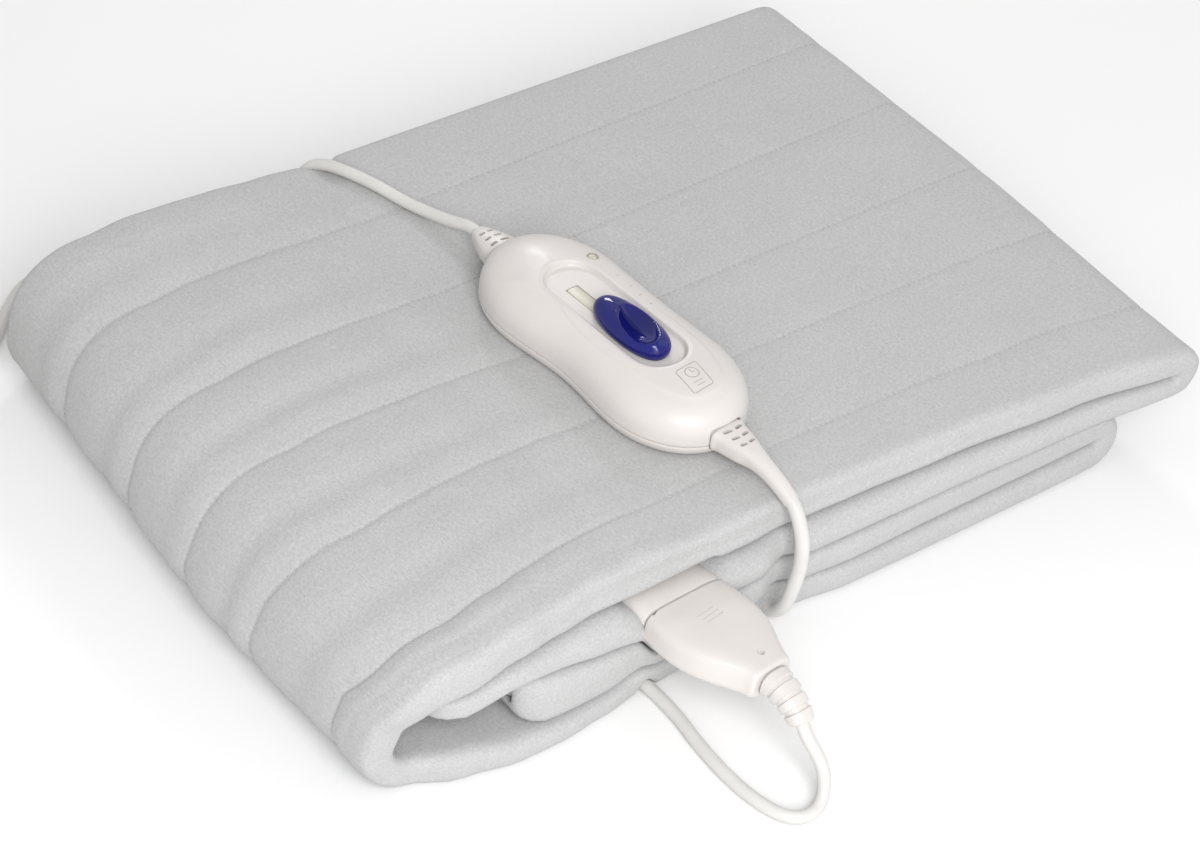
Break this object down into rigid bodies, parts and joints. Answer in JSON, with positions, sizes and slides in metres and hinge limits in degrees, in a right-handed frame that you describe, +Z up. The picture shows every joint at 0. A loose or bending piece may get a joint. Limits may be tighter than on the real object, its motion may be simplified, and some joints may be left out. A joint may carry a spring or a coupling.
{
  "type": "heated mattress pad",
  "caption": "Heated under-blanket of quilted fleece, folded into a flat stack, with its plug-in coupler, in-line sliding controller and mains lead.",
  "frame": {"origin": "under the middle of the folded pad, on the surface that it lies on", "axes": "+X along the pad's long side, towards its double folds; -Y towards the side that the coupler comes out of; +Z up"},
  "size_m": [0.5044, 0.4831, 0.084],
  "materials": {
    "fleece": "brushed polyester fleece",
    "ivory_plastic": "semi-gloss moulded plastic",
    "lead_pvc": "flexible PVC sheath",
    "blue_plastic": "glossy deep blue",
    "window_plastic": "pale translucent plastic",
    "pin_metal": "nickel-plated brass"
  },
  "bodies": {
    "pad": {"pad": "fleece", "coupler_socket": "ivory_plastic", "coupler_plug": "ivory_plastic", "coupler_relief": "ivory_plastic", "controller_lead": "lead_pvc", "relief_back": "ivory_plastic", "controller_base": "ivory_plastic", "controller_cover": "ivory_plastic", "setting_window": "window_plastic", "indicator": "window_plastic", "relief_front": "ivory_plastic", "mains_lead": "lead_pvc", "mains_coil": "lead_pvc", "mains_plug": "ivory_plastic", "mains_pin_1": "pin_metal", "mains_pin_2": "pin_metal"},
    "slider": {"slider": "blue_plastic"}
  },
  "joints": [
    {"name": "heat_selector", "type": "slide", "parent": "pad", "child": "slider", "axis": [-0.0715, 0.9974, 0], "range_m": [0, 0.018]}
  ]
}
